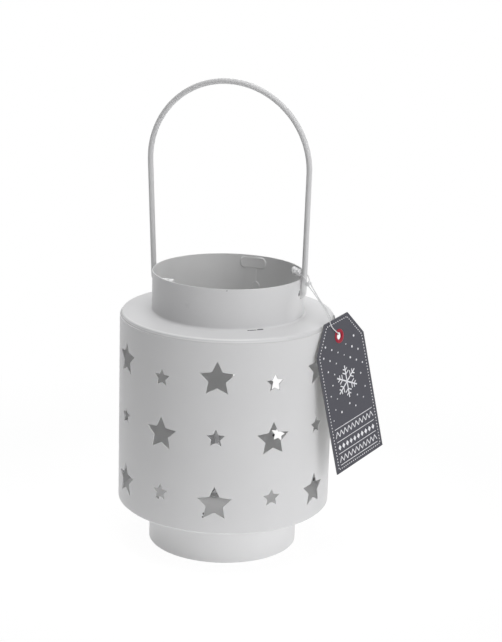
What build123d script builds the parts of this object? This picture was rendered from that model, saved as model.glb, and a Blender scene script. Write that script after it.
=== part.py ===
import os
from math import acos, atan2, cos, hypot, pi, radians, sin, tan

from build123d import *

os.makedirs("parts", exist_ok=True)

# Millimetres. The origin is the centre of the foot's underside, +Z is up,
# the handle's hinge runs along X and the front faces -Y.

# Sheet metal
sheet = 0.5             # thickness of every sheet piece
cap_fit = 0.1           # gap between a pressed cap and the sheet beside it
cap_proud = 1.2         # how far each cap stands out of the wall's edge
cap_skirt = 6.0         # depth of a cap's skirt inside the wall
cap_corner = 0.9        # bend radius at a cap's outer corner
flange_bend = 0.4       # bend radius at an inner flange
seam_gap = 0.3          # width of the line where a rolled sheet ends
seam_depth = 0.25

# Drum
body_diameter = 110.0
foot_height = 21.9      # from the table to the floor pan's underside
drum_height = 99.9      # from the floor pan's underside to the shoulder's edge
shoulder_rise = 1.1     # how far the shoulder climbs from its edge to the neck
wall_lap = 4.0          # width of the wall's lapped seam

# Stars
star_columns = 12       # evenly spaced on the flat sheet, lap included
large_star = 9.1        # radius to the points
small_star = 4.7
star_waist = 0.49       # radius of the notches over radius of the points
star_tips = 5
upper_large = 102.6     # heights of the star rows' centres
upper_small = 99.9
middle_small = 72.5
middle_large = 71.0
lower_small = 40.3
lower_large = 38.2
punch_reach = 4.0       # how deep the punch runs

# Neck
collar_diameter = 77.6
collar_height = 20.6    # above the shoulder
collar_tuck = 4.6       # below the shoulder
collar_lap = 6.0
collar_lap_edge = 1.8   # from the back's middle to the seam's edge

# Foot
foot_diameter = 77.2
foot_flange = 5.0       # width of the flange welded under the floor
foot_lap = 6.0

# Handle
wire = 2.8
hinge_height = 134.3
hinge_fit = 0.1         # radial gap round the wire in the neck's holes
bail_lean = 3.0         # degrees towards the front
arch_radius = 42.0
arch_height = 63.9      # from the hinge to the arch's centre
leg_spread = 40.75      # half the legs' distance at the hinge
bail_bend = 1.9
hook_reach = 29.5       # from the lantern's axis to a hook's end
hook_round = 0.5

# Glass cup
cup_x = -8.4
cup_y = 12.2
cup_base_radius = 21.0
cup_rim_radius = 21.8
cup_height = 42.0
cup_wall = 1.5
cup_floor = 3.0
cup_heel = 1.2
cup_inner = 2.0         # radius where the wall meets the floor inside
cup_lip = 0.7
cup_seat = 0.1          # gap to the floor it stands on

# Hang tag
tag_width = 39.6
tag_top_width = 19.4
tag_height = 76.6
tag_shoulder = 62.6     # height of the straight sides
tag_thickness = 0.6
tag_foot = Vector(72.24, 4.91, 50.65)
tag_heading = 68.9
tag_lean = -8.34
tag_spin = -8.57
eyelet_height = 67.3
eyelet_radius = 3.6
eyelet_bore = 1.7
eyelet_tube = 2.0
eyelet_flange = 0.3
eyelet_fit = 0.05
eyelet_seat = 0.05

# Tag string and its lock
string = 0.6
lock_radius = 2.0
lock_length = 5.4
lock_tilt = 20.0        # degrees below level, towards the handle's leg
lock_x = 36.0
lock_y = -0.35
lock_rise = 3.4         # from the neck's rim to the lock's middle
lock_round = 0.9
strand_spread = 1.2     # between the two strands at the lock
strand_gap = 0.3        # from the lock to the strands' ends
hole_lift = 0.9         # the string bears on the upper side of the eyelet's hole
hole_stand = 1.2        # from the card's middle to the string beside the hole

# Derived
body_radius = body_diameter / 2
collar_radius = collar_diameter / 2
foot_radius = foot_diameter / 2
drum_top = foot_height + drum_height
wall_bottom = foot_height + cap_proud
wall_top = drum_top - cap_proud
skirt_line = body_radius - sheet - cap_fit - sheet / 2
collar_base = drum_top + shoulder_rise
collar_top = collar_base + collar_height
floor_top = foot_height + sheet
string_radius = string / 2
star_turn = (pi * body_diameter + wall_lap) / star_columns / body_radius


def ring_sector(radius, thickness, width, shift):
    with Locations((shift, radius)):
        Rectangle(width, radius)
    Circle(radius, mode=Mode.INTERSECT)
    Circle(radius - thickness, mode=Mode.SUBTRACT)


def star_planes(first, height):
    planes = []
    for column in range(first, first + star_columns, 2):
        angle = star_turn * (column + 1 / 2)
        out = Vector(sin(angle), -cos(angle), 0)
        across = Vector(cos(angle), sin(angle), 0)
        planes.append(Plane(out * (body_radius + sheet) + Vector(0, 0, height), x_dir=across, z_dir=out))
    return planes


def star_corners(radius):
    corners = []
    for index in range(2 * star_tips):
        reach = radius if index % 2 == 0 else radius * star_waist
        angle = radians(90 + index * 180 / star_tips)
        corners.append((reach * cos(angle), reach * sin(angle)))
    return corners


# Columns are counted from the front, six on each side of the seam at the back
even = -star_columns // 2
odd = even + 1
star_rows = [
    (even, upper_large, large_star),
    (even, middle_small, small_star),
    (even, lower_large, large_star),
    (odd, upper_small, small_star),
    (odd, middle_large, large_star),
    (odd, lower_small, small_star),
]


def seam_line(radius, shift):
    with Locations((shift, radius)):
        Rectangle(seam_gap, 2 * seam_depth)


# Drum wall: a tube, its lapped seam inside at the back, and the punched stars
with BuildPart() as body_wall:
    with BuildSketch(Plane.XY.offset(wall_bottom)):
        Circle(body_radius)
        Circle(body_radius - sheet, mode=Mode.SUBTRACT)
    extrude(amount=wall_top - wall_bottom)
    with BuildSketch(Plane.XY.offset(wall_bottom + cap_skirt)):
        ring_sector(body_radius - sheet / 2, sheet * 1.5, wall_lap, 0)
    extrude(amount=wall_top - wall_bottom - 2 * cap_skirt)
    with BuildSketch(Plane.XY.offset(wall_bottom)):
        seam_line(body_radius, wall_lap / 2)
    extrude(amount=wall_top - wall_bottom, mode=Mode.SUBTRACT)
    for first, height, radius in star_rows:
        with BuildSketch(*star_planes(first, height)):
            Polygon(*star_corners(radius), align=None)
        extrude(amount=-punch_reach, mode=Mode.SUBTRACT)

# Shoulder: a skirt inside the wall, a shallow cone, and a flange round the neck
flange_line = collar_radius + cap_fit + sheet / 2
with BuildPart() as shoulder_plate:
    with BuildSketch(Plane.XZ):
        with BuildLine():
            FilletPolyline(
                (skirt_line, wall_top - cap_skirt),
                (skirt_line, drum_top - sheet / 2),
                (flange_line, collar_base - sheet / 2),
                (flange_line, collar_base - collar_tuck),
                radius=[cap_corner, flange_bend],
            )
        trace(line_width=sheet)
    revolve(axis=Axis.Z)

# Neck: a tube with its lap inside at the back and two holes for the handle
with BuildPart() as neck_collar:
    with BuildSketch(Plane.XY.offset(collar_base - collar_tuck)):
        Circle(collar_radius)
        Circle(collar_radius - sheet, mode=Mode.SUBTRACT)
    extrude(amount=collar_height + collar_tuck)
    with BuildSketch(Plane.XY.offset(collar_base - collar_tuck)):
        ring_sector(collar_radius - sheet / 2, sheet, collar_lap, collar_lap_edge - collar_lap / 2)
    extrude(amount=collar_height + collar_tuck)
    with BuildSketch(Plane.XY.offset(collar_base - collar_tuck)):
        seam_line(collar_radius, collar_lap_edge - collar_lap)
    extrude(amount=collar_height + collar_tuck, mode=Mode.SUBTRACT)
    with BuildSketch(Plane.YZ):
        with Locations((0, hinge_height)):
            Circle(wire / 2 + hinge_fit)
    extrude(amount=collar_radius + sheet, both=True, mode=Mode.SUBTRACT)

# Floor pan: the shoulder's counterpart, closed across the bottom
with BuildPart() as base_pan:
    with BuildSketch(Plane.XZ):
        with BuildLine():
            FilletPolyline(
                (0, foot_height + sheet / 2),
                (skirt_line, foot_height + sheet / 2),
                (skirt_line, wall_bottom + cap_skirt),
                radius=cap_corner,
            )
        trace(line_width=sheet)
    revolve(axis=Axis.Z)

# Foot: a tube with a flange turned in under the floor
foot_line = foot_radius - sheet / 2
with BuildPart() as foot_ring:
    with BuildSketch(Plane.XZ):
        with BuildLine():
            FilletPolyline(
                (foot_radius - foot_flange, foot_height - sheet / 2),
                (foot_line, foot_height - sheet / 2),
                (foot_line, 0),
                radius=flange_bend,
            )
        trace(line_width=sheet)
    revolve(axis=Axis.Z)
    with BuildSketch():
        ring_sector(foot_radius - sheet / 2, sheet, foot_lap, 0)
    extrude(amount=foot_height - sheet)
    with BuildSketch():
        seam_line(foot_radius, foot_lap / 2)
    extrude(amount=foot_height - sheet, mode=Mode.SUBTRACT)

# Handle: two hooks, two legs that touch the arch as tangents, and the arch
lean = radians(bail_lean)
bail_plane = Plane((0, 0, hinge_height), x_dir=(1, 0, 0), z_dir=(0, -cos(lean), -sin(lean)))
leg_turn = acos(arch_radius / hypot(leg_spread, arch_height)) - atan2(arch_height, leg_spread)
arch_side = arch_radius * cos(leg_turn)
arch_foot = arch_height + arch_radius * sin(leg_turn)
with BuildPart() as bail_handle:
    with BuildLine(bail_plane):
        FilletPolyline((-hook_reach, 0), (-leg_spread, 0), (-arch_side, arch_foot), radius=bail_bend)
        ThreePointArc((-arch_side, arch_foot), (0, arch_height + arch_radius), (arch_side, arch_foot))
        FilletPolyline((arch_side, arch_foot), (leg_spread, 0), (hook_reach, 0), radius=bail_bend)
    with BuildSketch(Plane((-hook_reach, 0, hinge_height), x_dir=(0, 1, 0), z_dir=(-1, 0, 0))):
        Circle(wire / 2)
    sweep()
    fillet(bail_handle.edges().filter_by(GeomType.CIRCLE).filter_by_position(
        Axis.X, -hook_reach - hook_round, hook_reach + hook_round), radius=hook_round)

# Glass cup, loose on the floor
cup_bottom = floor_top + cup_seat
cup_axis = Axis((cup_x, cup_y, 0), (0, 0, 1))
with BuildPart() as glass_cup:
    with BuildSketch(Plane((cup_x, cup_y, cup_bottom), x_dir=(1, 0, 0), z_dir=(0, -1, 0))):
        with BuildLine():
            Polyline(
                (0, 0),
                (cup_base_radius, 0),
                (cup_rim_radius, cup_height),
                (cup_rim_radius - cup_wall, cup_height),
                (cup_base_radius - cup_wall, cup_floor),
                (0, cup_floor),
                close=True,
            )
        make_face()
    revolve(axis=cup_axis)
    fillet(glass_cup.edges().filter_by(GeomType.CIRCLE).group_by(Axis.Z)[-1], radius=cup_lip)
    fillet(glass_cup.edges().filter_by(GeomType.CIRCLE).group_by(Axis.Z)[1], radius=cup_inner)
    fillet(glass_cup.edges().filter_by(GeomType.CIRCLE).group_by(Axis.Z)[0], radius=cup_heel)


# Hang tag: the card starts upright and facing the front, then spins, leans and turns to its heading
def turned(axis):
    return axis.rotate(Axis.Y, tag_spin).rotate(Axis.X, tag_lean).rotate(Axis.Z, tag_heading)


card_plane = Plane(tag_foot, x_dir=turned(Vector(1, 0, 0)), z_dir=turned(Vector(0, -1, 0)))
with BuildPart() as tag_card:
    with BuildSketch(card_plane.offset(-tag_thickness / 2)):
        with BuildLine():
            Polyline(
                (-tag_width / 2, 0),
                (tag_width / 2, 0),
                (tag_width / 2, tag_shoulder),
                (tag_top_width / 2, tag_height),
                (-tag_top_width / 2, tag_height),
                (-tag_width / 2, tag_shoulder),
                close=True,
            )
        make_face()
        with Locations((0, eyelet_height)):
            Circle(eyelet_tube + eyelet_fit, mode=Mode.SUBTRACT)
    extrude(amount=tag_thickness)

flange_face = tag_thickness / 2 + eyelet_seat
eyelet_middle = card_plane.from_local_coords(Vector(0, eyelet_height, 0))
eyelet_plane = Plane(eyelet_middle, x_dir=card_plane.x_dir, z_dir=card_plane.z_dir)
with BuildPart() as tag_eyelet:
    with BuildSketch(eyelet_plane):
        Circle(eyelet_tube)
    extrude(amount=flange_face, both=True)
    with BuildSketch(eyelet_plane.offset(flange_face), eyelet_plane.offset(-flange_face - eyelet_flange)):
        Circle(eyelet_radius)
    extrude(amount=eyelet_flange)
    with BuildSketch(eyelet_plane):
        Circle(eyelet_bore)
    extrude(amount=flange_face + 2 * eyelet_flange, both=True, mode=Mode.SUBTRACT)

# Lock: a small moulded barrel over the neck's rim, inside the handle's leg
tilt = radians(lock_tilt)
lock_middle = Vector(lock_x, lock_y, collar_top + lock_rise)
lock_plane = Plane(lock_middle, x_dir=(0, 1, 0), z_dir=(cos(tilt), 0, -sin(tilt)))
with BuildPart() as tag_lock:
    with BuildSketch(lock_plane.offset(-lock_length / 2)):
        Circle(lock_radius)
    extrude(amount=lock_length)
    fillet(tag_lock.edges().filter_by(GeomType.CIRCLE), radius=lock_round)


# String: from the lock past the front of the handle's leg, over the card's top edge, through the eyelet
# and back behind the leg
def at_lock(side):
    return lock_plane.from_local_coords(Vector(side * strand_spread / 2, 0, lock_length / 2 + strand_gap))


def on_card(across, up, out):
    return card_plane.from_local_coords(Vector(across, up, out))


hole_line = eyelet_height + hole_lift
string_route = [
    at_lock(-1),
    Vector(39.6, -2.6, 145.8),
    Vector(41.6, -2.9, 144.6),
    Vector(42.85, -3.15, 142.6),
    Vector(46.3, -4.15, 139.3),
    Vector(49.75, -5.2, 135.3),
    Vector(53.3, -6.5, 130.8),
    on_card(-5.7, tag_height + 0.6, 0.8),
    on_card(-2.6, eyelet_height + 4.4, 0.95),
    on_card(-0.4, hole_line, hole_stand),
    on_card(-0.4, hole_line, -hole_stand),
    on_card(-1.0, eyelet_height + 4.9, -hole_stand),
    on_card(-2.5, tag_height + 0.8, -0.9),
    Vector(53.3, -4.1, 130.5),
    Vector(49.8, -3.3, 135.2),
    Vector(46.6, -2.7, 139.0),
    Vector(43.5, -2.2, 142.7),
    Vector(42.9, 0.2, 144.2),
    Vector(41.3, 1.75, 145.4),
    Vector(39.7, 1.4, 146.0),
    at_lock(1),
]
bend_share = 0.45
string_bends = []
for before, here, after in zip(string_route, string_route[1:], string_route[2:]):
    half_turn = radians((here - before).get_angle(after - here)) / 2
    run = min((here - before).length, (after - here).length)
    string_bends.append(bend_share * run / tan(half_turn))
print("string bends", [round(bend, 2) for bend in string_bends])
with BuildPart() as tag_string:
    with BuildLine() as string_path:
        FilletPolyline(*string_route, radius=string_bends)
    with BuildSketch(Plane(string_route[0], z_dir=string_route[1] - string_route[0])):
        Circle(string_radius)
    sweep()
print("string length", round(string_path.wires()[0].length, 1), "volume", round(tag_string.part.volume, 2))

pieces = {
    "body_wall": body_wall,
    "shoulder_plate": shoulder_plate,
    "neck_collar": neck_collar,
    "base_pan": base_pan,
    "foot_ring": foot_ring,
    "bail_handle": bail_handle,
    "glass_cup": glass_cup,
    "tag_card": tag_card,
    "tag_eyelet": tag_eyelet,
    "tag_lock": tag_lock,
    "tag_string": tag_string,
}
for label, piece in pieces.items():
    piece.part.label = label
    export_step(piece.part, "parts/" + label + ".step")
    print(label, round(piece.part.volume, 1), len(piece.part.solids()), "solid")
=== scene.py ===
from math import acos, atan2, cos, hypot, pi, radians, sin, tan

import bpy
from mathutils import Matrix, Vector


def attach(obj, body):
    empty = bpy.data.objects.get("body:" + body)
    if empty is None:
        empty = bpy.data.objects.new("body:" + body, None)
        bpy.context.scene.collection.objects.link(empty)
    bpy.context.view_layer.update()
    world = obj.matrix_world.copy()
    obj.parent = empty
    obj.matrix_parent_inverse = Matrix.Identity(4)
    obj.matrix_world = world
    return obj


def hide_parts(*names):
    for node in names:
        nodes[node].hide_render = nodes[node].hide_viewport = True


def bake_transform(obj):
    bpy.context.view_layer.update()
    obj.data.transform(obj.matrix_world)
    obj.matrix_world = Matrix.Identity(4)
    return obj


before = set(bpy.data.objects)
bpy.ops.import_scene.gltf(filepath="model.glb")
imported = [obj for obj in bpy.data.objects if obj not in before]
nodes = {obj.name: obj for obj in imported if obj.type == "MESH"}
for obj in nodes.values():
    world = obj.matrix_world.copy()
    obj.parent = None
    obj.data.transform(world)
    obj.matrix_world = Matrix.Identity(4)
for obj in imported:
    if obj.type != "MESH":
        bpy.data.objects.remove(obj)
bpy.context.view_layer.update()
scene = bpy.context.scene
mm = 0.001


def paintColour(code):
    parts = [int(code[i:i + 2], 16) / 255 for i in (1, 3, 5)]
    return tuple(c / 12.92 if c <= 0.04045 else ((c + 0.055) / 1.055) ** 2.4 for c in parts) + (1.0,)


def perMm(size):
    return 1 / (size * mm)


def setInputs(tree, node, inputs):
    for key, value in inputs.items():
        if isinstance(value, bpy.types.NodeSocket):
            tree.links.new(value, node.inputs[key])
        else:
            node.inputs[key].default_value = value


def addNode(tree, kind, inputs, **settings):
    node = tree.nodes.new(kind)
    for key, value in settings.items():
        setattr(node, key, value)
    setInputs(tree, node, inputs)
    return node


def newFinish(name):
    material = bpy.data.materials.new(name)
    material.use_nodes = True
    tree = material.node_tree
    where = addNode(tree, "ShaderNodeTexCoord", {}).outputs
    return material, tree, tree.nodes["Principled BSDF"], where


def newPiece(name, points, faces, material, smooth=True):
    mesh = bpy.data.meshes.new(name)
    mesh.from_pydata([tuple(p) for p in points], [], faces)
    mesh.update()
    mesh.materials.append(material)
    for polygon in mesh.polygons:
        polygon.use_smooth = smooth
    piece = bpy.data.objects.new(name, mesh)
    scene.collection.objects.link(piece)
    return piece


def dress(node, material):
    mesh = nodes[node].data
    mesh.materials.clear()
    mesh.materials.append(material)


# Camera, solved from the rims, edges and star rows in the photograph
photoView = {
    "place": (0.2711, -0.7614, 0.3405),
    "right": (0.9439, 0.3288, 0.0290),
    "up": (-0.1140, 0.2423, 0.9635),
    "lens": 91.78,
    "sensor": 36.0,
}
cameraData = bpy.data.cameras.new("photoCamera")
cameraData.lens = photoView["lens"]
cameraData.sensor_width = photoView["sensor"]
camera = bpy.data.objects.new("photoCamera", cameraData)
scene.collection.objects.link(camera)
right = Vector(photoView["right"]).normalized()
up = Vector(photoView["up"])
up = (up - right * up.dot(right)).normalized()
turn = Matrix((right, up, right.cross(up))).transposed().to_4x4()
camera.matrix_world = Matrix.Translation(photoView["place"]) @ turn
scene.camera = camera
print("camera placed")

# Hang tag: the card's own plane, as in the solids, so that the print and the string lie on it
card = {
    "foot": Vector((72.24, 4.91, 50.65)),
    "heading": 68.9,
    "lean": -8.34,
    "spin": -8.57,
    "width": 39.6,
    "topWidth": 19.4,
    "height": 76.6,
    "shoulder": 62.6,
    "eyelet": 67.3,
    "face": 0.3,
    "ink": 0.34,
}
cardTurn = (
    Matrix.Rotation(radians(card["heading"]), 3, "Z")
    @ Matrix.Rotation(radians(card["lean"]), 3, "X")
    @ Matrix.Rotation(radians(card["spin"]), 3, "Y")
)
cardAcross, cardFront, cardUp = (cardTurn @ Vector(v) for v in ((1, 0, 0), (0, -1, 0), (0, 0, 1)))


def onCard(across, height, out):
    return (card["foot"] + cardAcross * across + cardUp * height + cardFront * out) * mm


# Bleached cotton string, two plies twisted: a dull white with soft shading between the plies
stringFinish, tree, shader, where = newFinish("bleachedCottonString")
fuzz = addNode(tree, "ShaderNodeTexNoise", {"Vector": where["Object"], "Scale": perMm(0.35), "Detail": 3.0})
tint = addNode(tree, "ShaderNodeMix", {
    0: fuzz.outputs["Fac"], 6: paintColour("#cfd0d1"), 7: paintColour("#f3f3f4"),
}, data_type="RGBA")
rough = addNode(tree, "ShaderNodeBump", {"Height": fuzz.outputs["Fac"], "Strength": 0.4, "Distance": 0.0001})
setInputs(tree, shader, {
    "Base Color": tint.outputs[2], "Roughness": 0.9, "Normal": rough.outputs["Normal"], "Sheen Weight": 0.3,
})

stringFacts = {
    "diameter": 0.6,
    "plies": 2,
    "plyRadius": 0.17,
    "plyOffset": 0.13,
    "lay": 1.9,
    "sides": 6,
    "steps": 24,
}
stringRoute = [
    Vector((38.82, -0.95, 145.87)) * mm,
    Vector((39.6, -2.6, 145.8)) * mm,
    Vector((41.6, -2.9, 144.6)) * mm,
    Vector((42.65, -3.39, 141.88)) * mm,
    Vector((45.86, -4.3, 139.16)) * mm,
    Vector((49.38, -5.27, 135.36)) * mm,
    Vector((53.57, -6.33, 130.96)) * mm,
    onCard(-5.8, 78.6, 0.8),
    onCard(-6.1, 75.8, 0.8),
    onCard(-4.0, 71.9, 0.95),
    onCard(-0.4, 68.2, 1.2),
    onCard(-0.4, 68.2, -1.2),
    onCard(-1.0, 72.2, -1.2),
    onCard(-2.5, 77.4, -0.9),
    Vector((53.41, -4.02, 130.53)) * mm,
    Vector((49.45, -3.6, 135.0)) * mm,
    Vector((46.15, -2.9, 139.45)) * mm,
    Vector((43.65, -2.1, 142.65)) * mm,
    Vector((42.7, 0.1, 144.1)) * mm,
    Vector((41.3, 1.75, 145.4)) * mm,
    Vector((39.7, 1.4, 146.0)) * mm,
    Vector((38.82, 0.25, 145.87)) * mm,
]


def smoothLine(points, steps):
    data = bpy.data.curves.new("route", "CURVE")
    data.dimensions = "3D"
    spline = data.splines.new("NURBS")
    spline.points.add(len(points) - 1)
    for place, point in zip(spline.points, points):
        place.co = (*point, 1.0)
    spline.order_u = 3
    spline.use_endpoint_u = True
    spline.resolution_u = steps
    holder = bpy.data.objects.new("route", data)
    scene.collection.objects.link(holder)
    bpy.context.view_layer.update()
    mesh = bpy.data.meshes.new_from_object(holder)
    line = [v.co.copy() for v in mesh.vertices]
    bpy.data.objects.remove(holder)
    bpy.data.meshes.remove(mesh)
    return line


def strandMesh(line, plies, offset, radius, lay, sides):
    points, faces = [], []
    for ply in range(plies):
        side, travelled, rings = None, 0.0, []
        for i, here in enumerate(line):
            ahead = (line[min(i + 1, len(line) - 1)] - line[max(i - 1, 0)]).normalized()
            if side is None:
                side = ahead.orthogonal().normalized()
            side = (side - ahead * side.dot(ahead)).normalized()
            other = ahead.cross(side)
            travelled += (here - line[i - 1]).length if i else 0.0
            angle = 2 * pi * (travelled / lay + ply / plies)
            middle = here + (side * cos(angle) + other * sin(angle)) * offset
            rings.append(len(points))
            for k in range(sides):
                a = 2 * pi * k / sides
                points.append(middle + (side * cos(a) + other * sin(a)) * radius)
        for low, high in zip(rings, rings[1:]):
            for k in range(sides):
                n = (k + 1) % sides
                faces.append((low + k, low + n, high + n, high + k))
        faces.append(tuple(rings[0] + k for k in reversed(range(sides))))
        faces.append(tuple(rings[-1] + k for k in range(sides)))
    return points, faces


stringLine = smoothLine(stringRoute, stringFacts["steps"])
twist = [stringFacts[key] * mm for key in ("plyOffset", "plyRadius", "lay")]
points, faces = strandMesh(stringLine, stringFacts["plies"], *twist, stringFacts["sides"])
tagString = newPiece("twistedTagString", points, faces, stringFinish)
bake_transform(tagString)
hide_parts("tag_string")

# Overhand knot that draws the two strands together beside the handle's leg
knot = {
    "near": Vector((43.4, -2.6, 142.4)) * mm,
    "ahead": Vector((3.5, -0.9, -3.6)).normalized(),
    "loop": 0.5,
    "long": 1.6,
    "steps": 96,
}
halfway = len(stringLine) // 2
strands = (stringLine[:halfway], stringLine[halfway:])
knotMiddle = sum((min(way, key=lambda p: (p - knot["near"]).length) for way in strands), Vector()) / 2
knotSide = knot["ahead"].orthogonal().normalized()
knotOther = knot["ahead"].cross(knotSide)
knotLine = []
for i in range(knot["steps"] + 1):
    t = 2 * pi * i / knot["steps"]
    across, tall, deep = sin(t) + 2 * sin(2 * t), cos(t) - 2 * cos(2 * t), -sin(3 * t)
    offset = knotSide * across + knotOther * tall + knot["ahead"] * deep * knot["long"]
    knotLine.append(knotMiddle + offset * knot["loop"] * mm)
points, faces = strandMesh(knotLine, stringFacts["plies"], *twist, stringFacts["sides"])
stringKnot = newPiece("tagStringKnot", points, faces, stringFinish)
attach(stringKnot, "shell")

# Pale grey polyester paint, sprayed on thin tinplate and baked: a smooth satin with slow clouds of tone
sheetPaint = {
    "wall": ("#dadadb", "#d5d5d6"),
    "wallInside": ("#f3f3f3", "#ededed"),
    "shoulder": ("#d8d8d9", "#d3d3d4"),
    "collarInside": ("#e7e7e7", "#e1e1e1"),
    "foot": ("#e2e2e3", "#dddddd"),
    "wire": ("#d6d6d7", "#cececf"),
    "middle": (0.0, 0.0, 72.0),
    "insideBlend": 4.0,
    "cloud": 26.0,
    "cloudLow": 0.3,
    "cloudHigh": 0.7,
    "roughLow": 0.42,
    "roughHigh": 0.52,
    "gloss": 0.35,
    "peel": 0.8,
    "peelDepth": 0.03,
    "peelStrength": 0.06,
    "stray": 1.2,
    "ragged": 1.0,
    "crisp": 0.6,
    "lineCore": 0.4,
    # where the painted highlight lines are strongest, and how far from there they fade out
    "highlightAt": (-9.4, -53.2, 122.0),
    "highlightReach": 56.0,
    "highlightCore": 0.65,
}


def paintFinish(name, outsideTones, insideTones, marks=(), rings=()):
    material, tree, shader, where = newFinish(name)
    cloud = addNode(tree, "ShaderNodeTexNoise", {
        "Vector": where["Object"], "Scale": perMm(sheetPaint["cloud"]), "Detail": 3.0,
    })
    peel = addNode(tree, "ShaderNodeTexNoise", {
        "Vector": where["Object"], "Scale": perMm(sheetPaint["peel"]), "Detail": 2.0,
    })
    tint = addNode(tree, "ShaderNodeMix", {
        0: cloud.outputs["Fac"], 6: paintColour(outsideTones[1]), 7: paintColour(outsideTones[0]),
    }, data_type="RGBA")
    insideTint = addNode(tree, "ShaderNodeMix", {
        0: cloud.outputs["Fac"], 6: paintColour(insideTones[1]), 7: paintColour(insideTones[0]),
    }, data_type="RGBA")
    # faces that look at the lantern's middle are the inside, which has the paler coat
    inward = addNode(tree, "ShaderNodeVectorMath", {
        0: Vector(sheetPaint["middle"]) * mm, 1: where["Object"],
    }, operation="SUBTRACT")
    facing = addNode(tree, "ShaderNodeVectorMath", {
        0: inward.outputs[0], 1: where["Normal"],
    }, operation="DOT_PRODUCT")
    inside = addNode(tree, "ShaderNodeMapRange", {
        "Value": facing.outputs["Value"], "From Min": 0.0, "From Max": sheetPaint["insideBlend"] * mm,
    })
    tint = addNode(tree, "ShaderNodeMix", {
        0: inside.outputs["Result"], 6: tint.outputs[2], 7: insideTint.outputs[2],
    }, data_type="RGBA")
    # painted highlight lines that run round the front of the lantern, each at its own radius and height
    if rings:
        flat = addNode(tree, "ShaderNodeVectorMath", {0: where["Object"], 1: (1, 1, 0)}, operation="MULTIPLY")
        outward = addNode(tree, "ShaderNodeVectorMath", {0: flat.outputs[0]}, operation="LENGTH")
        height = addNode(tree, "ShaderNodeSeparateXYZ", {0: where["Object"]})
        section = addNode(tree, "ShaderNodeCombineXYZ", {0: outward.outputs["Value"], 1: height.outputs[2]})
        away = addNode(tree, "ShaderNodeVectorMath", {
            0: where["Object"], 1: Vector(sheetPaint["highlightAt"]) * mm,
        }, operation="DISTANCE")
        front = addNode(tree, "ShaderNodeMapRange", {
            "Value": away.outputs["Value"],
            "From Min": sheetPaint["highlightReach"] * mm,
            "From Max": sheetPaint["highlightReach"] * mm * sheetPaint["highlightCore"],
        })
    for ring in rings:
        apart = addNode(tree, "ShaderNodeVectorMath", {
            0: section.outputs[0], 1: (ring["radius"] * mm, ring["height"] * mm, 0),
        }, operation="DISTANCE")
        line = addNode(tree, "ShaderNodeMapRange", {
            "Value": apart.outputs["Value"],
            "From Min": ring["size"] * mm,
            "From Max": ring["size"] * mm * sheetPaint["lineCore"],
            "To Max": ring["strength"],
        })
        line = addNode(tree, "ShaderNodeMath", {
            0: line.outputs["Result"], 1: front.outputs["Result"],
        }, operation="MULTIPLY")
        tint = addNode(tree, "ShaderNodeMix", {
            0: line.outputs[0], 6: tint.outputs[2], 7: paintColour(ring["tone"]),
        }, data_type="RGBA")
    # spots of another tone, with ragged edges
    if marks:
        stray = addNode(tree, "ShaderNodeTexNoise", {
            "Vector": where["Object"], "Scale": perMm(sheetPaint["stray"]), "Detail": 2.0,
        })
    for mark in marks:
        size = mark["size"] * mm
        apart = addNode(tree, "ShaderNodeVectorMath", {
            0: where["Object"], 1: Vector(mark["at"]) * mm,
        }, operation="DISTANCE")
        ragged = addNode(tree, "ShaderNodeMath", {
            0: stray.outputs["Fac"],
            1: size * mark.get("ragged", sheetPaint["ragged"]),
            2: apart.outputs["Value"],
        }, operation="MULTIPLY_ADD")
        spot = addNode(tree, "ShaderNodeMapRange", {
            "Value": ragged.outputs[0],
            "From Min": size,
            "From Max": size * mark.get("crisp", sheetPaint["crisp"]),
            "To Max": mark["strength"],
        })
        tint = addNode(tree, "ShaderNodeMix", {
            0: spot.outputs["Result"], 6: tint.outputs[2], 7: paintColour(mark["tone"]),
        }, data_type="RGBA")
    rough = addNode(tree, "ShaderNodeMapRange", {
        "Value": cloud.outputs["Fac"],
        "From Min": sheetPaint["cloudLow"],
        "From Max": sheetPaint["cloudHigh"],
        "To Min": sheetPaint["roughLow"],
        "To Max": sheetPaint["roughHigh"],
    })
    bump = addNode(tree, "ShaderNodeBump", {
        "Height": peel.outputs["Fac"],
        "Strength": sheetPaint["peelStrength"],
        "Distance": sheetPaint["peelDepth"] * mm,
    })
    setInputs(tree, shader, {
        "Base Color": tint.outputs[2],
        "Roughness": rough.outputs["Result"],
        "Normal": bump.outputs["Normal"],
        "Specular IOR Level": sheetPaint["gloss"],
    })
    return material


# dark spots: painted shade in the gap at the floor's edge, and dark spots behind a star, in the corners of two
# stars and on the floor
wallSpotsAndShade = [
    {"at": (38.71, 37.51, 23.31), "size": 1.4, "tone": "#101011", "strength": 0.95, "crisp": 0.8, "ragged": 0.5},
    {"at": (43.18, 32.26, 23.44), "size": 1.2, "tone": "#3a3a3b", "strength": 0.6, "crisp": 0.7, "ragged": 0.5},
    {"at": (9.75, 52.4, 38.89), "size": 2.0, "tone": "#0c0c0d", "strength": 0.98, "crisp": 0.85, "ragged": 0.3},
    {"at": (9.45, -54.1, 32.85), "size": 0.9, "tone": "#1c1c1d", "strength": 0.9, "crisp": 0.8, "ragged": 0.5},
    {"at": (9.0, -54.17, 31.2), "size": 0.8, "tone": "#2a2a2b", "strength": 0.8, "crisp": 0.8, "ragged": 0.5},
    {"at": (-15.5, -52.67, 36.98), "size": 0.8, "tone": "#1c1c1d", "strength": 0.85, "crisp": 0.8, "ragged": 0.5},
    {"at": (-0.1, -29.8, 22.4), "size": 1.1, "tone": "#3a3a3b", "strength": 0.7},
]
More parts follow.
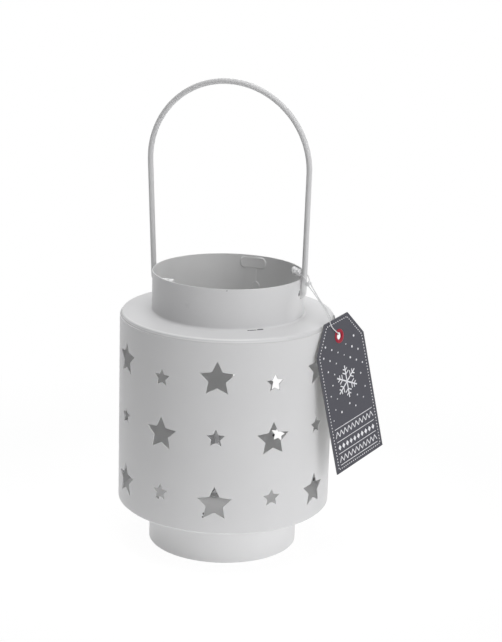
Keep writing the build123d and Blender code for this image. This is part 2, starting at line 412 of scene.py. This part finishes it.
# painted shadow that the tag casts on the rim, strongest near the tag
tagShadowMarks = []
tagShadow = {"first": 105.0, "step": 1.2, "count": 14, "radius": 54.4, "height": 121.3, "wide": 2.4, "thin": 0.07}
for k in range(tagShadow["count"]):
    a = radians(tagShadow["first"] + tagShadow["step"] * k)
    tagShadowMarks.append({
        "at": (tagShadow["radius"] * sin(a), -tagShadow["radius"] * cos(a), tagShadow["height"]),
        "size": tagShadow["wide"] - tagShadow["thin"] * k, "tone": "#2c2c2d", "strength": 0.9, "crisp": 0.88,
    })
# painted highlights on the shoulder's bend and along its lip
bendHighlight = {"radius": 53.45, "height": 122.4, "size": 0.9, "tone": "#fbfbfb", "strength": 0.4}
lipHighlight = {"radius": 54.22, "height": 121.2, "size": 0.4, "tone": "#fbfbfb", "strength": 0.45}
wallPaint = paintFinish(
    "bakedGreyWallPaint", sheetPaint["wall"], sheetPaint["wallInside"], wallSpotsAndShade + tagShadowMarks,
)
for node in ("body_wall", "base_pan"):
    dress(node, wallPaint)
# painted shade darkens the shoulder's right side
shoulderShadeMarks = tagShadowMarks + [
    {"at": (46.0, 5.0, 122.7), "size": 38.0, "tone": "#c2c2c3", "strength": 0.5, "crisp": 0.2, "ragged": 0.0},
]
shoulderPaint = paintFinish(
    "bakedGreyShoulderPaint", sheetPaint["shoulder"], sheetPaint["wallInside"], shoulderShadeMarks,
    [bendHighlight, lipHighlight],
)
footPaint = paintFinish("bakedGreyFootPaint", sheetPaint["foot"], sheetPaint["wallInside"])
dress("foot_ring", footPaint)
# a chip on the rim, a scuff low on the front, a painted pool of light low on the neck's right side, and painted
# shadow beside the handle's right leg
collarMarksAndShading = [
    {"at": (12.4, -36.8, 142.9), "size": 1.1, "tone": "#6f6f70", "strength": 0.8},
    {"at": (-7.75, -38.0, 133.4), "size": 3.6, "tone": "#8c8c8d", "strength": 0.2, "crisp": 0.2},
    # painted light: brightens the neck's right side near its foot
    {"at": (38.3, 4.0, 127.5), "size": 19.0, "tone": "#ffffff", "strength": 0.6, "crisp": 0.2, "ragged": 0.0},
    # painted shadow in the gap between the handle's right leg and the neck
    {"at": (38.68, -3.05, 136.1), "size": 1.35, "tone": "#2c2c2d", "strength": 0.9, "ragged": 0.2},
    {"at": (38.7, -2.65, 137.4), "size": 0.9, "tone": "#3a3a3b", "strength": 0.7, "ragged": 0.2},
]
collarPaint = paintFinish("bakedGreyCollarPaint", sheetPaint["wall"], sheetPaint["collarInside"], collarMarksAndShading)
dress("neck_collar", collarPaint)
# the left end inside the neck carries a thick white run of paint with a painted highlight on it, and the right
# leg's foot is brightened with painted light
wireMarksAndHighlights = [{"at": (x, -0.6, 135.4), "size": 4.0, "tone": "#ffffff", "strength": 0.9} for x in (-37, -34, -31)]
# painted light on the right leg's foot
wireMarksAndHighlights.append({
    "at": (40.7, -1.2, 139.4), "size": 8.0, "tone": "#ffffff", "strength": 0.6, "crisp": 0.3, "ragged": 0.0,
})
wirePaint = paintFinish("bakedGreyWirePaint", sheetPaint["wire"], sheetPaint["wire"], wireMarksAndHighlights)
print("paint done")

# Shoulder: spun from one sheet, with a short sloping lip above the wall's edge and a flange round the neck
shoulder = {
    "sheet": 0.5,
    "around": 256,
    "outside": (
        (54.4, 114.6), (54.4, 118.0), (54.4, 120.2), (54.36, 120.7), (54.2, 121.3), (54.02, 121.8),
        (53.88, 122.1), (53.66, 122.34), (53.38, 122.48), (53.0, 122.55), (50.0, 122.63), (45.0, 122.74),
        (40.0, 122.86), (39.4, 122.88), (39.1, 122.79), (38.95, 122.6), (38.9, 122.3), (38.9, 120.0),
        (38.9, 118.3),
    ),
}
outline = [Vector(p) for p in shoulder["outside"]]
underside = []
for i, here in enumerate(outline):
    way = outline[min(i + 1, len(outline) - 1)] - outline[max(i - 1, 0)]
    underside.append(here - Vector((way.y, -way.x)).normalized() * shoulder["sheet"])
outline += underside[::-1]
points, faces = [], []
for i in range(shoulder["around"]):
    a = 2 * pi * i / shoulder["around"]
    points += [Vector((p.x * sin(a), -p.x * cos(a), p.y)) * mm for p in outline]
ring = len(outline)
for i in range(shoulder["around"]):
    here, beside = i * ring, (i + 1) % shoulder["around"] * ring
    for k in range(ring):
        n = (k + 1) % ring
        faces.append((here + k, beside + k, beside + n, here + n))
spunShoulder = newPiece("spunShoulder", points, faces, shoulderPaint)
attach(spunShoulder, "shell")
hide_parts("shoulder_plate")
print("shoulder done")

# Handle: one bent wire, its ends turned in through the neck's holes
bail = {
    "wire": 2.8,
    "hinge": 134.3,
    "slip": -0.35,
    "lean": 3.0,
    "archRadius": 42.0,
    "archHeight": 63.9,
    "spread": 40.45,
    "bend": 2.6,
    "reach": 29.5,
    "endRound": 0.5,
    "sides": 24,
    "endSteps": 4,
    "bendSteps": 12,
    "legSteps": 12,
    "archSteps": 120,
}
legTurn = acos(bail["archRadius"] / hypot(bail["spread"], bail["archHeight"]))
legTurn -= atan2(bail["archHeight"], bail["spread"])
archSide = bail["archRadius"] * cos(legTurn)
archFoot = bail["archHeight"] + bail["archRadius"] * sin(legTurn)
legWay = Vector((archSide - bail["spread"], archFoot)).normalized()
cutBack = bail["bend"] / tan((pi / 2 + atan2(legWay.x, legWay.y)) / 2)
bendMiddle = Vector((bail["spread"] - cutBack, bail["bend"]))
half = []
for k in range(bail["endSteps"] + 1):
    a = pi / 2 * k / bail["endSteps"]
    half.append((Vector((bail["reach"] + bail["endRound"] * (1 - cos(a)), 0)), bail["endRound"] * (1 - sin(a))))
for k in range(bail["bendSteps"] + 1):
    a = -pi / 2 + (pi / 2 - atan2(legWay.x, legWay.y)) * k / bail["bendSteps"]
    half.append((bendMiddle + Vector((cos(a), sin(a))) * bail["bend"], 0))
legFoot = half[-1][0]
for k in range(1, bail["legSteps"]):
    half.append((legFoot.lerp(Vector((archSide, archFoot)), k / bail["legSteps"]), 0))
arch = []
for k in range(bail["archSteps"] + 1):
    a = legTurn + (pi - 2 * legTurn) * k / bail["archSteps"]
    arch.append((Vector((cos(a), sin(a))) * bail["archRadius"] + Vector((0, bail["archHeight"])), 0))
mirrored = [(Vector((-p.x, p.y)), shrink) for p, shrink in reversed(half)]
wireWay = half + arch + mirrored
wireUp = Vector((0, -sin(radians(bail["lean"])), cos(radians(bail["lean"]))))
wireFront = Vector((0, -cos(radians(bail["lean"])), -sin(radians(bail["lean"]))))
points, faces = [], []
for i, (spot, shrink) in enumerate(wireWay):
    before, after = wireWay[max(i - 1, 0)][0], wireWay[min(i + 1, len(wireWay) - 1)][0]
    ahead = (after - before).normalized()
    middle = Vector((spot.x + bail["slip"], 0, bail["hinge"])) + wireUp * spot.y
    sideways = Vector((-ahead.y, 0, 0)) + wireUp * ahead.x
    for k in range(bail["sides"]):
        a = 2 * pi * k / bail["sides"]
        points.append((middle + (sideways * cos(a) + wireFront * sin(a)) * (bail["wire"] / 2 - shrink)) * mm)
rows = len(wireWay)
for i in range(rows - 1):
    for k in range(bail["sides"]):
        n = (k + 1) % bail["sides"]
        faces.append(tuple(j + i * bail["sides"] for j in (k, n, n + bail["sides"], k + bail["sides"])))
faces.append(tuple(reversed(range(bail["sides"]))))
faces.append(tuple(range((rows - 1) * bail["sides"], rows * bail["sides"])))
bailWire = newPiece("bentBailWire", points, faces, wirePaint)
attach(bailWire, "bail")
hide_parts("bail_handle")
print("handle done")

# Spot weld and pressed lozenge on the neck's inner back: soft ridges round low panels
weld = {
    "radius": 38.05,
    "sunk": 0.31,
    "step": 0.3,
    "margin": 1.0,
    "ridgeWide": 0.75,
    "ridge": 0.16,
    "lozenge": {"across": 0.07, "height": 139.6, "half": 7.0, "halfTall": 2.85, "round": 2.4, "panel": 0.14},
    "spot": {"across": 1.4, "height": 127.0, "half": 2.3, "halfTall": 2.3, "round": 2.3, "panel": 0.02},
}
for name in ("lozenge", "spot"):
    form = weld[name]
    columns = int((form["half"] + weld["margin"]) / weld["step"])
    rows = int((form["halfTall"] + weld["margin"]) / weld["step"])
    points, faces, near = [], [], []
    for i in range(-columns, columns + 1):
        for k in range(-rows, rows + 1):
            x, z = i * weld["step"], k * weld["step"]
            outX, outZ = abs(x) - form["half"] + form["round"], abs(z) - form["halfTall"] + form["round"]
            gap = hypot(max(outX, 0), max(outZ, 0)) + min(max(outX, outZ), 0) - form["round"]
            ramp = min(max(0.5 - gap / weld["ridgeWide"], 0), 1)
            ridge = max(0, 1 - abs(gap) / weld["ridgeWide"])
            swell = ridge ** 2 * (3 - 2 * ridge) * weld["ridge"]
            tall = ramp * form["panel"] + swell - (1 - ramp) * weld["sunk"]
            turn, reach = (form["across"] + x) / weld["radius"], weld["radius"] - tall
            points.append(Vector((reach * sin(turn), reach * cos(turn), form["height"] + z)) * mm)
            near.append(gap < weld["ridgeWide"])
    tallRow = 2 * rows + 1
    for i in range(2 * columns):
        for k in range(2 * rows):
            cell = [(i + 1) * tallRow + k, (i + 1) * tallRow + k + 1, i * tallRow + k + 1, i * tallRow + k]
            if any(near[c] for c in cell):
                faces.append(tuple(cell))
    patch = newPiece(name + "WeldPatch", points, faces, collarPaint)
    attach(patch, "shell")

# Paint that has filled the corner between the neck and the shoulder, with a short crack in it
fillet = {"neck": 38.76, "shoulder": 122.84, "round": 1.3, "around": 192, "steps": 8}
crackWay = {"dashes": ((34.4, 40.2, 39.7, 122.9), (41.6, 45.6, 39.55, 122.93)), "marks": 12, "size": 0.62}
crack = []
for start, end, reach, height in crackWay["dashes"]:
    for k in range(crackWay["marks"]):
        a = radians(start + (end - start) * k / (crackWay["marks"] - 1))
        crack.append({
            "at": (reach * sin(a), -reach * cos(a), height),
            "size": crackWay["size"], "tone": "#1c1c1d", "strength": 0.9, "ragged": 0.35,
        })
cornerPaint = paintFinish("bakedGreyCornerPaint", sheetPaint["wall"], sheetPaint["wall"], crack)
points, faces = [], []
for i in range(fillet["around"]):
    turn = 2 * pi * i / fillet["around"]
    for k in range(fillet["steps"] + 1):
        a = pi + pi / 2 * k / fillet["steps"]
        reach = fillet["neck"] + fillet["round"] * (1 + cos(a))
        height = fillet["shoulder"] + fillet["round"] * (1 + sin(a))
        points.append(Vector((reach * sin(turn), -reach * cos(turn), height)) * mm)
ring = fillet["steps"] + 1
for i in range(fillet["around"]):
    for k in range(fillet["steps"]):
        here, beside = i * ring + k, (i + 1) % fillet["around"] * ring + k
        faces.append((here, here + 1, beside + 1, beside))
corner = newPiece("neckPaintFillet", points, faces, cornerPaint)
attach(corner, "shell")
print("weld patches and paint fillet done")

# Clear pressed soda-lime glass: faint waves from the mould, so edges show and the middle doesn't
glassFinish, tree, shader, where = newFinish("clearPressedGlass")
ripple = addNode(tree, "ShaderNodeTexNoise", {"Vector": where["Object"], "Scale": perMm(9), "Detail": 1.0})
bump = addNode(tree, "ShaderNodeBump", {"Height": ripple.outputs["Fac"], "Strength": 0.05, "Distance": 0.0002})
setInputs(tree, shader, {
    "Base Color": paintColour("#f8f8f9"),
    "Roughness": 0.02,
    "IOR": 1.5,
    "Transmission Weight": 1.0,
    "Normal": bump.outputs["Normal"],
})
dress("glass_cup", glassFinish)

# Bleached card, offset-printed matt slate on the front: fibres in the tone, and a bare pale back
slateFinish, tree, shader, where = newFinish("slatePrintedCard")
cardFinish = {
    "slateLow": "#3c3c45",
    "slateHigh": "#484850",
    "paperLow": "#dcdbd7",
    "paperHigh": "#e9e8e5",
    "edge": "#6c6c70",
}
fibre = addNode(tree, "ShaderNodeTexNoise", {"Vector": where["Object"], "Scale": perMm(0.6), "Detail": 4.0})
slate = addNode(tree, "ShaderNodeMix", {
    0: fibre.outputs["Fac"], 6: paintColour(cardFinish["slateLow"]), 7: paintColour(cardFinish["slateHigh"]),
}, data_type="RGBA")
paper = addNode(tree, "ShaderNodeMix", {
    0: fibre.outputs["Fac"], 6: paintColour(cardFinish["paperLow"]), 7: paintColour(cardFinish["paperHigh"]),
}, data_type="RGBA")
facing = addNode(tree, "ShaderNodeVectorMath", {0: where["Normal"], 1: cardFront}, operation="DOT_PRODUCT")
bare = addNode(tree, "ShaderNodeMath", {0: facing.outputs["Value"], 1: -0.5}, operation="LESS_THAN")
printed = addNode(tree, "ShaderNodeMath", {0: facing.outputs["Value"], 1: 0.5}, operation="GREATER_THAN")
# the cut edges are a darker grey
tint = addNode(tree, "ShaderNodeMix", {
    0: bare.outputs[0], 6: paintColour(cardFinish["edge"]), 7: paper.outputs[2],
}, data_type="RGBA")
tint = addNode(tree, "ShaderNodeMix", {
    0: printed.outputs[0], 6: tint.outputs[2], 7: slate.outputs[2],
}, data_type="RGBA")
bump = addNode(tree, "ShaderNodeBump", {"Height": fibre.outputs["Fac"], "Strength": 0.1, "Distance": 0.00005})
setInputs(tree, shader, {"Base Color": tint.outputs[2], "Roughness": 0.6, "Normal": bump.outputs["Normal"]})
dress("tag_card", slateFinish)

# White offset ink: thin, so the card's grain greys it in places
inkFinish, tree, shader, where = newFinish("whiteOffsetInk")
grain = addNode(tree, "ShaderNodeTexNoise", {"Vector": where["Object"], "Scale": perMm(0.5), "Detail": 2.0})
tint = addNode(tree, "ShaderNodeMix", {
    0: grain.outputs["Fac"], 6: paintColour("#d2d2d8"), 7: paintColour("#fafafc"),
}, data_type="RGBA")
setInputs(tree, shader, {"Base Color": tint.outputs[2], "Roughness": 0.6})

# Red lacquered brass eyelet: glossy, with a rolled lip that takes the light
redFinish, tree, shader, where = newFinish("redLacqueredEyelet")
speck = addNode(tree, "ShaderNodeTexNoise", {"Vector": where["Object"], "Scale": perMm(0.7), "Detail": 2.0})
tint = addNode(tree, "ShaderNodeMix", {
    0: speck.outputs["Fac"], 6: paintColour("#8a1228"), 7: paintColour("#b01e38"),
}, data_type="RGBA")
setInputs(tree, shader, {"Base Color": tint.outputs[2], "Roughness": 0.3, "Specular IOR Level": 0.25})
eyelet = {"bore": 1.88, "rim": 3.6, "face": 0.35, "lip": 0.3, "around": 48, "lipSteps": 8}
profile = []
for out in (1, -1):
    arc = []
    for k in range(eyelet["lipSteps"] + 1):
        a = pi * k / eyelet["lipSteps"]
        reach = (eyelet["bore"] + eyelet["rim"]) / 2 + (eyelet["rim"] - eyelet["bore"]) / 2 * cos(a)
        arc.append((reach, out * (eyelet["face"] + eyelet["lip"] * sin(a))))
    profile += arc if out == 1 else arc[::-1]
points, faces = [], []
for i in range(eyelet["around"]):
    a = 2 * pi * i / eyelet["around"]
    for reach, out in profile:
        points.append(onCard(reach * cos(a), card["eyelet"] + reach * sin(a), out))
ring = len(profile)
for i in range(eyelet["around"]):
    for k in range(ring):
        here, beside = i * ring, (i + 1) % eyelet["around"] * ring
        n = (k + 1) % ring
        faces.append((beside + k, beside + n, here + n, here + k))
rolledEyelet = newPiece("rolledRedEyelet", points, faces, redFinish)
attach(rolledEyelet, "tag")
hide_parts("tag_eyelet")

# White polypropylene lock, moulded in a spark-roughened tool: milky, with a mottled grain
lockFinish, tree, shader, where = newFinish("whiteMouldedPolypropylene")
grain = addNode(tree, "ShaderNodeTexNoise", {"Vector": where["Object"], "Scale": perMm(1.1), "Detail": 3.0})
mottle = addNode(tree, "ShaderNodeMapRange", {
    "Value": grain.outputs["Fac"], "From Min": 0.38, "From Max": 0.62,
})
tint = addNode(tree, "ShaderNodeMix", {
    0: mottle.outputs["Result"], 6: paintColour("#bcbcbe"), 7: paintColour("#f8f8f8"),
}, data_type="RGBA")
bump = addNode(tree, "ShaderNodeBump", {"Height": grain.outputs["Fac"], "Strength": 0.5, "Distance": 0.0003})
setInputs(tree, shader, {"Base Color": tint.outputs[2], "Roughness": 0.5, "Normal": bump.outputs["Normal"]})
dress("tag_lock", lockFinish)
print("small finishes done")

# Print on the tag: a stitched border, a plain snow crystal among dots, and a knitted band
inkShapes = []


def inkLine(start, end, width):
    along = Vector(end) - Vector(start)
    side = Vector((-along.y, along.x)).normalized() * width / 2
    a, b = Vector(start), Vector(end)
    inkShapes.append([a - side, b - side, b + side, a + side])


def inkDot(middle, radius, corners=8):
    inkShapes.append([
        Vector((middle[0] + radius * cos(2 * pi * k / corners), middle[1] + radius * sin(2 * pi * k / corners)))
        for k in range(corners)
    ])


stitch = {"inset": 1.9, "topInset": 1.14, "shoulderInset": 0.6, "dash": 0.7, "pitch": 1.65, "width": 0.5}
halfWidth, halfTop = card["width"] / 2 - stitch["inset"], card["topWidth"] / 2 - stitch["topInset"]
shoulderHeight, topHeight = card["shoulder"] - stitch["shoulderInset"], card["height"] - stitch["inset"]
corners = [
    (-halfWidth, stitch["inset"]), (halfWidth, stitch["inset"]), (halfWidth, shoulderHeight),
    (halfTop, topHeight), (-halfTop, topHeight), (-halfWidth, shoulderHeight),
]
for start, end in zip(corners, corners[1:] + corners[:1]):
    start, end = Vector(start), Vector(end)
    length = (end - start).length
    count = round(length / stitch["pitch"])
    step = (end - start) / count
    for i in range(count):
        middle = start + step * (i + 0.5)
        half = step.normalized() * stitch["dash"] / 2
        inkLine(middle - half, middle + half, stitch["width"])

crystal = {
    "height": 43.0,
    "arms": 6,
    "arm": 8.5,
    "width": 0.75,
    "branches": ((0.45, 2.8), (0.7, 2.0)),
    "branchWidth": 0.6,
    "spread": 60,
}
snow = {
    "low": 27.0,
    "high": 66.0,
    "count": 40,
    "golden": 0.618034,
    "margin": 9.0,
    "clearOfEyelet": 6.0,
    "clearOfCrystal": 10.5,
    "dots": (0.35, 0.5, 0.65, 0.425, 0.575),
}
for i in range(snow["count"]):
    share = (i * snow["golden"]) % 1
    height = snow["low"] + (snow["high"] - snow["low"]) * (i + 0.5) / snow["count"]
    across = (share - 0.5) * (card["width"] - snow["margin"])
    beside = hypot(across, height - card["eyelet"]) > snow["clearOfEyelet"]
    if beside and hypot(across, height - crystal["height"]) > snow["clearOfCrystal"]:
        inkDot((across, height), snow["dots"][i % len(snow["dots"])])

middle = Vector((0, crystal["height"]))
for i in range(crystal["arms"]):
    turn = 2 * pi * i / crystal["arms"]
    way = Vector((sin(turn), cos(turn)))
    inkLine(middle, middle + way * crystal["arm"], crystal["width"])
    for share, length in crystal["branches"]:
        for sign in (-1, 1):
            a = turn + sign * radians(crystal["spread"])
            start = middle + way * crystal["arm"] * share
            inkLine(start, start + Vector((sin(a), cos(a))) * length, crystal["branchWidth"])

knit = {
    "left": -16.0,
    "right": 16.0,
    "teeth": 10,
    "tall": 3.0,
    "width": 0.5,
    "zigzags": (5.0, 18.0),
    "diamonds": 12.6,
    "diamond": ((0, -1.5), (1.2, 0), (0, 1.5), (-1.2, 0)),
    "rules": (3.6, 9.6, 15.8, 22.6),
    "ruleWidth": 0.35,
}
toothStep = (knit["right"] - knit["left"]) / knit["teeth"]
for base in knit["zigzags"]:
    for i in range(knit["teeth"]):
        x, top = knit["left"] + toothStep * i, base + knit["tall"]
        inkLine((x, base), (x + toothStep / 2, top), knit["width"])
        inkLine((x + toothStep / 2, top), (x + toothStep, base), knit["width"])
for i in range(knit["teeth"]):
    x, y = knit["left"] + toothStep * (i + 0.5), knit["diamonds"]
    inkShapes.append([Vector((x + a, y + b)) for a, b in knit["diamond"]])
for y in knit["rules"]:
    inkLine((knit["left"], y), (knit["right"], y), knit["ruleWidth"])

points, faces = [], []
for shape in inkShapes:
    faces.append(tuple(range(len(points), len(points) + len(shape))))
    points += [onCard(p.x, p.y, card["ink"]) for p in shape]
tagPrint = newPiece("tagInkPrint", points, faces, inkFinish, smooth=False)
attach(tagPrint, "tag")
print("tag print", len(inkShapes), "shapes")

# Studio: a white sweep that the eye, gloss and glass see as plain white, and soft lights
scene.view_settings.view_transform = "Standard"
studio = {
    "world": 0.09,
    "floorGlow": 0.09,
    "nearGlow": 0.3,
    "nearReach": 0.2,
    "nearCore": 0.5,
    "shadowShare": 0.1,
    "shadowReach": 0.3,
    "shadowCore": 0.4,
    "floorHalf": 6.0,
    "floorDrop": 0.0003,
    "aim": (0.0, 0.0, 0.1),
    "lamps": {
        "rightFront": {"turn": 65, "rise": 12, "away": 1.3, "size": 0.8, "power": 4.8},
        "rightHigh": {"turn": 70, "rise": 30, "away": 1.3, "size": 0.8, "power": 2.1},
        "rightSide": {"turn": 110, "rise": 15, "away": 1.3, "size": 0.8, "power": 0.8},
        "top": {"turn": 20, "rise": 80, "away": 1.3, "size": 1.0, "power": 7.0},
        "overhead": {"turn": 20, "rise": 86, "away": 1.3, "size": 0.4, "power": 2.8},
        "leftHigh": {"turn": -120, "rise": 50, "away": 1.3, "size": 0.8, "power": 1.8},
        "leftBack": {"turn": -120, "rise": 15, "away": 1.3, "size": 0.8, "power": 1.4},
        "back": {"turn": 185, "rise": 35, "away": 1.3, "size": 0.8, "power": 2.0},
    },
}


def plainlySeen(tree):
    rays = addNode(tree, "ShaderNodeLightPath", {}).outputs
    seen = addNode(tree, "ShaderNodeMath", {
        0: rays["Is Camera Ray"], 1: rays["Is Glossy Ray"],
    }, operation="MAXIMUM")
    return addNode(tree, "ShaderNodeMath", {
        0: seen.outputs[0], 1: rays["Is Transmission Ray"],
    }, operation="MAXIMUM").outputs[0]


world = bpy.data.worlds.new("whiteStudio")
scene.world = world
world.use_nodes = True
tree = world.node_tree
level = addNode(tree, "ShaderNodeMix", {0: plainlySeen(tree), 2: studio["world"], 3: 1.0})
tree.nodes["Background"].inputs["Color"].default_value = (1, 1, 1, 1)
tree.links.new(level.outputs[0], tree.nodes["Background"].inputs["Strength"])
for name, lamp in studio["lamps"].items():
    turn, rise = radians(lamp["turn"]), radians(lamp["rise"])
    back = Vector((sin(turn) * cos(rise), -cos(turn) * cos(rise), sin(rise)))
    data = bpy.data.lights.new(name + "Softbox", "AREA")
    data.size = lamp["size"]
    data.energy = lamp["power"]
    light = bpy.data.objects.new(name + "Softbox", data)
    light.location = Vector(studio["aim"]) + back * lamp["away"]
    light.rotation_euler = back.to_track_quat("Z", "Y").to_euler()
    scene.collection.objects.link(light)

# White paper sweep: matt, bright near the lantern, and a share of its own shading stays for the soft shadow
floorFinish, tree, shader, where = newFinish("whitePaperSweep")
flat = addNode(tree, "ShaderNodeVectorMath", {0: where["Object"]}, operation="LENGTH")
near = addNode(tree, "ShaderNodeMapRange", {
    "Value": flat.outputs["Value"],
    "From Min": studio["nearReach"] * studio["nearCore"],
    "From Max": studio["nearReach"],
    "To Min": studio["floorGlow"] + studio["nearGlow"],
    "To Max": studio["floorGlow"],
})
setInputs(tree, shader, {
    "Base Color": paintColour("#f2f2f2"),
    "Roughness": 0.8,
    "Emission Color": (1, 1, 1, 1),
    "Emission Strength": near.outputs["Result"],
})
glow = addNode(tree, "ShaderNodeEmission", {"Color": (1, 1, 1, 1), "Strength": 1.0})
plain = addNode(tree, "ShaderNodeMapRange", {
    "Value": flat.outputs["Value"],
    "From Min": studio["shadowReach"] * studio["shadowCore"],
    "From Max": studio["shadowReach"],
    "To Min": 1 - studio["shadowShare"],
    "To Max": 1.0,
})
share = addNode(tree, "ShaderNodeMath", {
    0: plainlySeen(tree), 1: plain.outputs["Result"],
}, operation="MULTIPLY")
seen = addNode(tree, "ShaderNodeMixShader", {0: share.outputs[0], 1: shader.outputs[0], 2: glow.outputs[0]})
tree.links.new(seen.outputs[0], tree.nodes["Material Output"].inputs["Surface"])
edge = studio["floorHalf"]
corners = ((-edge, -edge), (edge, -edge), (edge, edge), (-edge, edge))
points = [(x, y, -studio["floorDrop"]) for x, y in corners]
floor = newPiece("studioFloor", points, [(0, 1, 2, 3)], floorFinish)
print("studio done")
